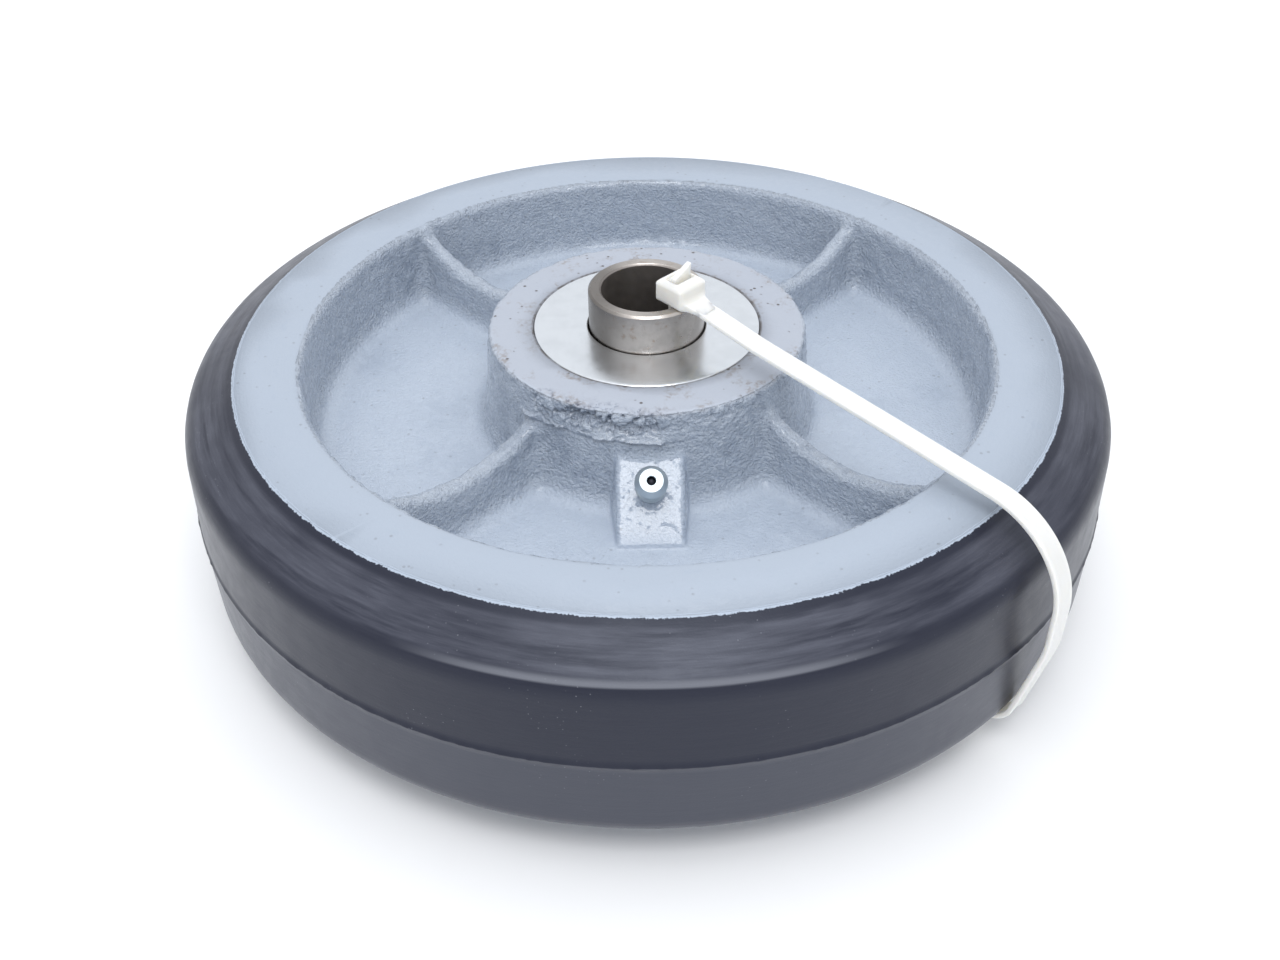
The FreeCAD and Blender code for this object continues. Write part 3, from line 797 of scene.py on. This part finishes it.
def painted_iron():
    """Glossy blue-grey enamel over the casting, thinner and duller on the turned faces."""
    f = Finish("painted_iron", Specular_IOR_Level=0.5, Coat_Roughness=0.10)
    cast, pad, chip, relief = (f.attribute(name) for name in ("cast", "pad", "chip", "relief"))
    _, _, z = f.parts()
    up, radius = f.math("ABSOLUTE", z), f.radius()
    hub_face = f.math("MULTIPLY", f.range(up, (HUB_Z - 1.5) * MM, (HUB_Z - 0.4) * MM),
                      f.range(radius, (HUB_R + 0.3) * MM, (HUB_R - 1.2) * MM))
    rim_face = f.math("MULTIPLY", f.range(up, (FACE_Z - 0.8) * MM, (FACE_Z - 0.2) * MM),
                      f.range(radius, RIM_INNER_R * MM, (RIM_INNER_R + 1) * MM))
    tone = f.mix(f.noise(28, 3), (0.430, 0.492, 0.588), (0.478, 0.540, 0.632))
    tone = f.mix(f.math("MULTIPLY", cast, f.range(f.noise(1.3, 4, 0.62), 0.42, 0.64, 0, 0.24)),
                 tone, (0.24, 0.29, 0.40))
    tone = f.mix(f.math("MULTIPLY", pad, 0.70), tone, (0.345, 0.405, 0.50))
    tone = f.mix(f.math("MULTIPLY", hub_face, 0.65), tone, (0.350, 0.368, 0.420))
    tone = f.mix(f.math("MULTIPLY", rim_face, 0.65), tone, (0.315, 0.362, 0.432))
    near_washer = f.range(radius, (POCKET_R + 3.2) * MM, POCKET_R * MM)
    near_edge = f.range(radius, (HUB_R - 3.2) * MM, (HUB_R - 1.0) * MM)
    worn = f.math("ADD", f.math("ADD", f.math("MULTIPLY", near_washer, 0.10),
                                f.math("MULTIPLY", near_edge, 0.07)), f.noise(6.5, 5, 0.68))
    smudge = f.math("MULTIPLY", f.range(worn, 0.53, 0.72), f.range(f.noise(0.9, 3), 0.40, 0.60))
    tone = f.mix(f.math("MULTIPLY", f.math("MULTIPLY", hub_face, smudge), 0.75), tone, (0.23, 0.20, 0.185))
    # A dark band at the pocket's edge round the washer, broken up by noise: partly dirt in the joint and partly
    # painted shade of the gap there.
    ring = f.math("MULTIPLY", f.range(radius, (POCKET_R + 0.55) * MM, (POCKET_R + 0.15) * MM),
                  f.range(f.noise(3.0, 4, 0.7), 0.38, 0.60, 0.35, 0.95))
    tone = f.mix(f.math("MULTIPLY", f.range(radius, (POCKET_R - 0.6) * MM, (POCKET_R - 0.2) * MM), ring),
                 tone, (0.12, 0.11, 0.11))
    pits = f.math("MULTIPLY", f.specks(2.4, 0.19), f.range(f.noise(6), 0.50, 0.58))
    where = f.math("ADD", f.math("MULTIPLY", hub_face, 0.75), 0.30)
    tone = f.mix(f.math("MULTIPLY", pits, where), tone, (0.11, 0.10, 0.10))
    # Darker where the casting sinks below its smooth shape: painted shade in its hollows, with dirt there.
    tone = f.mix(f.range(relief, -0.03, -0.30, 0, 0.40), tone, (0.20, 0.25, 0.34))
    cracks = f.math("MULTIPLY", f.range(chip, 0.10, 0.60), f.range(f.noise(0.9, 5, 0.7), 0.50, 0.60))
    tone = f.mix(f.math("MULTIPLY", cracks, 0.60), tone, (0.12, 0.14, 0.20))
    rings = f.noise(0.5, 1, place=f.around(0.004, 1.0))
    streaks = f.math("MULTIPLY", rim_face, f.range(f.noise(1.3, 4, 0.6, place=f.around(0.012, 0.6)), 0.60, 0.78))
    tone = f.mix(f.math("MULTIPLY", streaks, 0.30), tone, (0.30, 0.36, 0.45))
    f.drive("Base Color", tone)
    f.drive("Coat Weight", f.math("ADD", f.math("MULTIPLY", cast, 0.75), f.math("MULTIPLY", pad, 0.25)))
    rough = f.range(f.noise(3, 3), 0.3, 0.7, 0.22, 0.32)
    smooth_rough = f.range(f.noise(2.2, 3), 0.3, 0.7, 0.42, 0.56)
    blend = f.node("ShaderNodeMix", data_type="FLOAT")
    for index, value in ((0, cast), (2, smooth_rough), (3, rough)):
        f.feed(blend.inputs[index], value)
    f.drive("Roughness", blend.outputs[0])
    share = f.math("ADD", f.math("MULTIPLY", f.math("SUBTRACT", cast, f.math("MULTIPLY", pad, 0.75)), 0.9), 0.07)
    peel = f.math("MULTIPLY", f.noise(0.66, 3.5, 0.58), share)
    normal = f.bump(peel, 1.2)
    normal = f.bump(f.math("MULTIPLY", f.noise(0.62, 1.5), pad), 0.42, normal)
    normal = f.bump(f.math("MULTIPLY", rings, rim_face), 0.02, normal)
    normal = f.bump(f.math("MULTIPLY", pits, where), -0.12, normal)
    f.drive("Normal", normal)
    return f.material


def tyre_rubber():
    """Charcoal rubber: scuffed, faintly shiny shoulders and a duller tread, with its lower half painted lighter
    as painted light from the pale floor and a painted highlight on the front of the shoulder crest.
    """
    f = Finish("tyre_rubber", Specular_IOR_Level=0.44, Specular_Tint=(0.82, 0.88, 1.0, 1.0), Sheen_Weight=0.05,
               Sheen_Roughness=0.35, Sheen_Tint=(0.85, 0.9, 1.0, 1.0))
    _, y, z = f.parts()
    up, radius = f.math("ABSOLUTE", z), f.radius()
    flank = f.range(up, 17.0 * MM, 18.4 * MM)
    floor_lit_lower_half = f.range(z, 0.05 * MM, -0.15 * MM)
    tone = f.mix(f.noise(35, 4, 0.6), (0.0080, 0.0090, 0.0205), (0.0115, 0.0125, 0.0245))
    # Painted light: the lower half is given a lighter tone, standing in for light thrown up from the pale floor.
    tone = f.mix(floor_lit_lower_half, tone, (0.048, 0.051, 0.068))
    long_streaks = f.noise(2.6, 3, 0.5, place=f.around(0.010, 1.0))
    short_streaks = f.noise(0.8, 4, 0.65, place=f.around(0.012, 1.0))
    scuff = f.math("ADD", f.math("MULTIPLY", f.range(long_streaks, 0.24, 0.66), 0.70),
                   f.math("MULTIPLY", f.range(short_streaks, 0.38, 0.68), 0.25))
    patches = f.range(f.noise(24, 3, 0.55), 0.30, 0.60, 0.55, 1.0)
    away_from_iron = f.range(radius, (IRON_R + 1.2) * MM, (IRON_R + 2.4) * MM)
    # Painted highlight: a lighter line along the shoulder's crest, standing in for the lamp's reflection there.
    painted_crest_highlight = f.math("MULTIPLY", f.range(radius, 98.9 * MM, 99.9 * MM), f.range(radius, 100.35 * MM, 100.05 * MM))
    worn = f.math("MULTIPLY", f.math("MULTIPLY", flank, away_from_iron), f.math("MULTIPLY", scuff, patches))
    worn = f.math("MULTIPLY", worn, f.range(radius, 100.0 * MM, 98.4 * MM, 0.15, 1.0))
    tone = f.mix(f.math("MULTIPLY", worn, 0.68), tone, (0.098, 0.103, 0.132))
    # The painted highlight is kept to the front of the wheel, towards negative y.
    painted_crest_highlight = f.math("MULTIPLY", painted_crest_highlight, f.range(f.math("DIVIDE", y, radius), -0.88, -0.985, 0.0, 1.0))
    tone = f.mix(f.math("MULTIPLY", f.math("MULTIPLY", flank, painted_crest_highlight), 0.60), tone, (0.23, 0.24, 0.275))
    dust = f.math("MULTIPLY", f.specks(1.3, 0.13), f.range(f.noise(12), 0.52, 0.66))
    tone = f.mix(f.math("MULTIPLY", dust, 0.45), tone, (0.24, 0.25, 0.28))
    edge_noise = f.math("ADD", f.math("MULTIPLY", f.noise(5, 2), 0.35),
                        f.math("MULTIPLY", f.noise(0.5, 4, 0.65), 0.65))
    paint = f.range(f.math("SUBTRACT", f.math("MULTIPLY", edge_noise, 1.5 * MM),
                           f.math("SUBTRACT", radius, (IRON_R - 0.45) * MM)), -0.06 * MM, 0.06 * MM)
    tone = f.mix(f.math("MULTIPLY", paint, flank), tone, (0.40, 0.46, 0.55))
    f.drive("Base Color", tone)
    dull = f.range(f.noise(5, 4, 0.6), 0.3, 0.7, 0.31, 0.38)
    f.drive("Roughness", f.math("ADD", dull, f.math("MULTIPLY", flank, 0.04)))
    normal = f.bump(f.noise(0.45, 3, 0.6), 0.02)
    normal = f.bump(f.noise(1.1, 4, 0.6, place=f.around(0.012, 1.0)), 0.035, normal)
    f.drive("Normal", normal)
    return f.material


def metal(name, light, dark, rough_low, rough_high, lines=0.006, clouds=0.006, stain=None):
    """Bare or plated metal with fine turning lines and cloudy gloss."""
    f = Finish(name, Metallic=1.0)
    tone = f.mix(f.range(f.noise(5, 4, 0.6), 0.35, 0.68), light, dark)
    if stain:
        spots = f.math("MULTIPLY", f.range(f.noise(2.2, 5, 0.72), 0.54, 0.72), 0.50)
        tone = f.mix(spots, tone, stain)
        x, _, _ = f.parts()
        # Painted shade: the bushing's side towards negative x is darkened, standing in for the shade and dark
        # reflection on that side.
        painted_left_shade = f.range(f.math("DIVIDE", x, f.radius()), -0.25, -0.90, 0, 0.8)
        tone = f.mix(painted_left_shade, tone, tuple(0.35 * c for c in dark))
        bore = f.range(f.radius(), (BUSHING_BORE_R + 0.35) * MM, (BUSHING_BORE_R + 0.15) * MM)
        tone = f.mix(bore, tone, (0.30, 0.275, 0.26))
    f.drive("Base Color", tone)
    rough = f.range(f.noise(2.4, 4, 0.6), 0.3, 0.7, rough_low, rough_high)
    f.drive("Roughness", f.math("ADD", rough, f.math("MULTIPLY", bore, 0.22)) if stain else rough)
    normal = f.bump(f.noise(0.35, 2, place=f.around(0.002, 1.0)), lines)
    normal = f.bump(f.noise(1.2, 3), clouds, normal)
    f.drive("Normal", normal)
    return f.material


def natural_nylon():
    """Milky nylon that lets some light through."""
    f = Finish("natural_nylon", Subsurface_Weight=0.85, Subsurface_Scale=0.003, Specular_IOR_Level=0.45,
               Subsurface_Radius=(1.0, 0.93, 0.78))
    f.drive("Base Color", f.mix(f.noise(8, 3), (0.75, 0.74, 0.705), (0.80, 0.79, 0.755)))
    f.drive("Roughness", f.range(f.noise(2, 3), 0.3, 0.7, 0.34, 0.44))
    f.drive("Normal", f.bump(f.noise(1.5, 2), 0.02))
    return f.material


def set_finish(piece, material):
    """Gives the whole piece one material."""
    piece.data.materials.clear()
    piece.data.materials.append(material)


# ---------------------------------------------------------------- studio

def add_area(name, place, size, power):
    """A rectangular lamp that points at the wheel."""
    data = bpy.data.lights.new(name, "AREA")
    data.shape = "RECTANGLE"
    data.size, data.size_y = size
    data.energy = power
    light = bpy.data.objects.new(name, data)
    light.location = place
    light.rotation_mode = "QUATERNION"
    light.rotation_quaternion = (-Vector(place)).to_track_quat("-Z", "Y")
    bpy.context.scene.collection.objects.link(light)


def floor_material():
    """Smooth white paper."""
    f = Finish("floor_paper", Specular_IOR_Level=0.3)
    tone = f.mix(f.noise(60, 4, 0.6), (0.925, 0.932, 0.945), (0.945, 0.95, 0.96))
    f.drive("Base Color", tone)
    f.drive("Roughness", f.range(f.noise(9, 3), 0.3, 0.7, 0.45, 0.6))
    return f.material


FLOOR_HALF = 3.0


def add_floor():
    """A plain pale floor that the wheel rests on."""
    half = FLOOR_HALF
    mesh = bpy.data.meshes.new("floor")
    z = FLOOR_Z * MM
    mesh.from_pydata([(-half, -half, z), (half, -half, z), (half, half, z), (-half, half, z)], [], [(0, 1, 2, 3)])
    floor = bpy.data.objects.new("floor", mesh)
    bpy.context.scene.collection.objects.link(floor)
    set_finish(floor, floor_material())


CAMERA_PLACE = (0.0, -0.26335, 0.1925)
CAMERA_PITCH = -38.32
CAMERA_YAW = 0.38
CAMERA_ROLL = -0.46
CAMERA_LENS = 39.375
CAMERA_SENSOR = 36.0


def add_camera():
    """A 39 mm lens on a 36 mm sensor, looking down at the wheel from the side of the grease fitting."""
    pitch, yaw, roll = (math.radians(a) for a in (CAMERA_PITCH, CAMERA_YAW, CAMERA_ROLL))
    ahead = Vector((-math.sin(yaw) * math.cos(pitch), math.cos(yaw) * math.cos(pitch), math.sin(pitch)))
    right = ahead.cross(Vector((0, 0, 1))).normalized()
    up = right.cross(ahead)
    right, up = (math.cos(roll) * right + math.sin(roll) * up, math.cos(roll) * up - math.sin(roll) * right)
    data = bpy.data.cameras.new("camera")
    data.lens, data.sensor_width = CAMERA_LENS, CAMERA_SENSOR
    data.clip_start = 0.01
    camera = bpy.data.objects.new("camera", data)
    camera.matrix_world = Matrix.Translation(CAMERA_PLACE) @ Matrix((right, up, -ahead)).transposed().to_4x4()
    bpy.context.scene.collection.objects.link(camera)
    bpy.context.scene.camera = camera


# Strength of the studio all round, and what is added overhead, behind and in front
WORLD_BASE = 0.58
WORLD_OVERHEAD = 0.48
WORLD_BEHIND = 0.28
WORLD_AHEAD = 0.24


def add_world():
    """A white studio: brightest overhead, then behind and in front of the wheel, dimmest at its sides."""
    world = bpy.data.worlds.new("studio")
    bpy.context.scene.world = world
    world.use_nodes = True
    tree = world.node_tree

    def math_node(operation, a, b):
        made = tree.nodes.new("ShaderNodeMath")
        made.operation = operation
        for socket, value in zip(made.inputs, (a, b)):
            if isinstance(value, bpy.types.NodeSocket):
                tree.links.new(value, socket)
            else:
                socket.default_value = value
        return made.outputs[0]

    split = tree.nodes.new("ShaderNodeSeparateXYZ")
    tree.links.new(tree.nodes.new("ShaderNodeTexCoord").outputs["Generated"], split.inputs[0])
    _, depth, height = split.outputs
    overhead = math_node("MULTIPLY", math_node("MAXIMUM", height, 0.0), WORLD_OVERHEAD)
    behind = math_node("MULTIPLY", math_node("MAXIMUM", depth, 0.0), WORLD_BEHIND)
    nearness = math_node("MULTIPLY", depth, -1.0)
    ahead = math_node("MULTIPLY", math_node("MAXIMUM", nearness, 0.0), WORLD_AHEAD)
    background = tree.nodes["Background"]
    background.inputs["Color"].default_value = (0.95, 0.97, 1.0, 1.0)
    sides = math_node("ADD", behind, ahead)
    strength = math_node("ADD", math_node("ADD", overhead, sides), WORLD_BASE)
    tree.links.new(strength, background.inputs["Strength"])


def add_light():
    """The studio and two soft lamps."""
    add_world()
    add_area("overhead", (-0.05, 0.05, 0.95), (0.9, 0.7), 2.0)
    add_area("front", (0.04, -0.50, 0.85), (0.45, 0.30), 2.9)
    bpy.context.scene.view_settings.view_transform = "Standard"


# Rollers, cage, check ball and spring keep their CAD meshes: 12 + 3 + 1 + 1
KEPT_NODES = 17


def build_object():
    """Every piece with its material."""
    iron, rubber = painted_iron(), tyre_rubber()
    zinc = metal("zinc_steel", (0.715, 0.745, 0.780), (0.670, 0.700, 0.735), 0.21, 0.26, 0.003, 0.002)
    turned_steel = metal("turned_steel", (0.51, 0.475, 0.445), (0.41, 0.380, 0.355), 0.27, 0.35, 0.008, 0.003,
                         (0.30, 0.20, 0.13))
    cage_steel = metal("cage_steel", (0.45, 0.45, 0.46), (0.36, 0.36, 0.37), 0.30, 0.42)
    roller_steel = metal("roller_steel", (0.66, 0.66, 0.67), (0.58, 0.58, 0.59), 0.12, 0.20)
    plated = metal("plated_fitting", (0.60, 0.66, 0.69), (0.54, 0.60, 0.63), 0.38, 0.46)
    greased = metal("greased_steel", (0.035, 0.035, 0.045), (0.02, 0.02, 0.025), 0.35, 0.45)
    nylon = natural_nylon()
    set_finish(wheel_core(), iron)
    set_finish(rubber_tyre(), rubber)
    set_finish(retaining_washer("upper", 1), zinc)
    set_finish(retaining_washer("lower", -1), zinc)
    set_finish(spanner_bushing(), turned_steel)
    set_finish(grease_fitting(), plated)
    set_finish(tie_strap(), nylon)
    set_finish(tie_head(), nylon)
    kept = (("roller_", roller_steel), ("cage_", cage_steel),
            ("grease_fitting_ball", greased), ("grease_fitting_spring", greased))
    dressed = []
    for start, finish in kept:
        for name in (n for n in frame["nodes"] if n.startswith(start)):
            set_finish(frame["nodes"][name], finish)
            dressed.append(name)
    assert len(dressed) == KEPT_NODES, dressed


build_object()
add_floor()
add_light()
add_camera()
